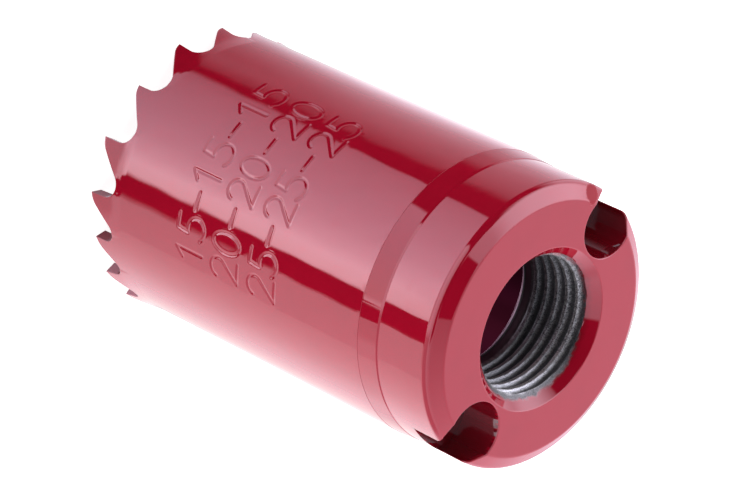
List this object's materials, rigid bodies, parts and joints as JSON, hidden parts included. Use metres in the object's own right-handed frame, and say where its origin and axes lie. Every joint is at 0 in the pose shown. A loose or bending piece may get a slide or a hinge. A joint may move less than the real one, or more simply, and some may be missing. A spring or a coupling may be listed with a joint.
{
  "type": "hole saw",
  "caption": "Painted cup-shaped hole saw with hooked teeth round its open end and a threaded end plate with two drive-pin holes.",
  "frame": {"origin": "on the saw's axis, in the plane of the tooth tips that it stands on", "axes": "+Z along the axis from the teeth to the end cap; +X through the middle of one drive-pin hole"},
  "size_m": [0.032, 0.0308, 0.05],
  "materials": {
    "tooth_paint": "glossy paint, worn thin at the tooth edges",
    "red_paint": "glossy deep red paint over stamped marks",
    "cap_paint": "glossy deep red paint on a turned face",
    "thread_steel": "bare tapped steel with a fine sparkle"
  },
  "bodies": {
    "root": {"tooth_edge": "tooth_paint", "shell": "red_paint", "end_cap": "cap_paint"}
  },
  "joints": []
}
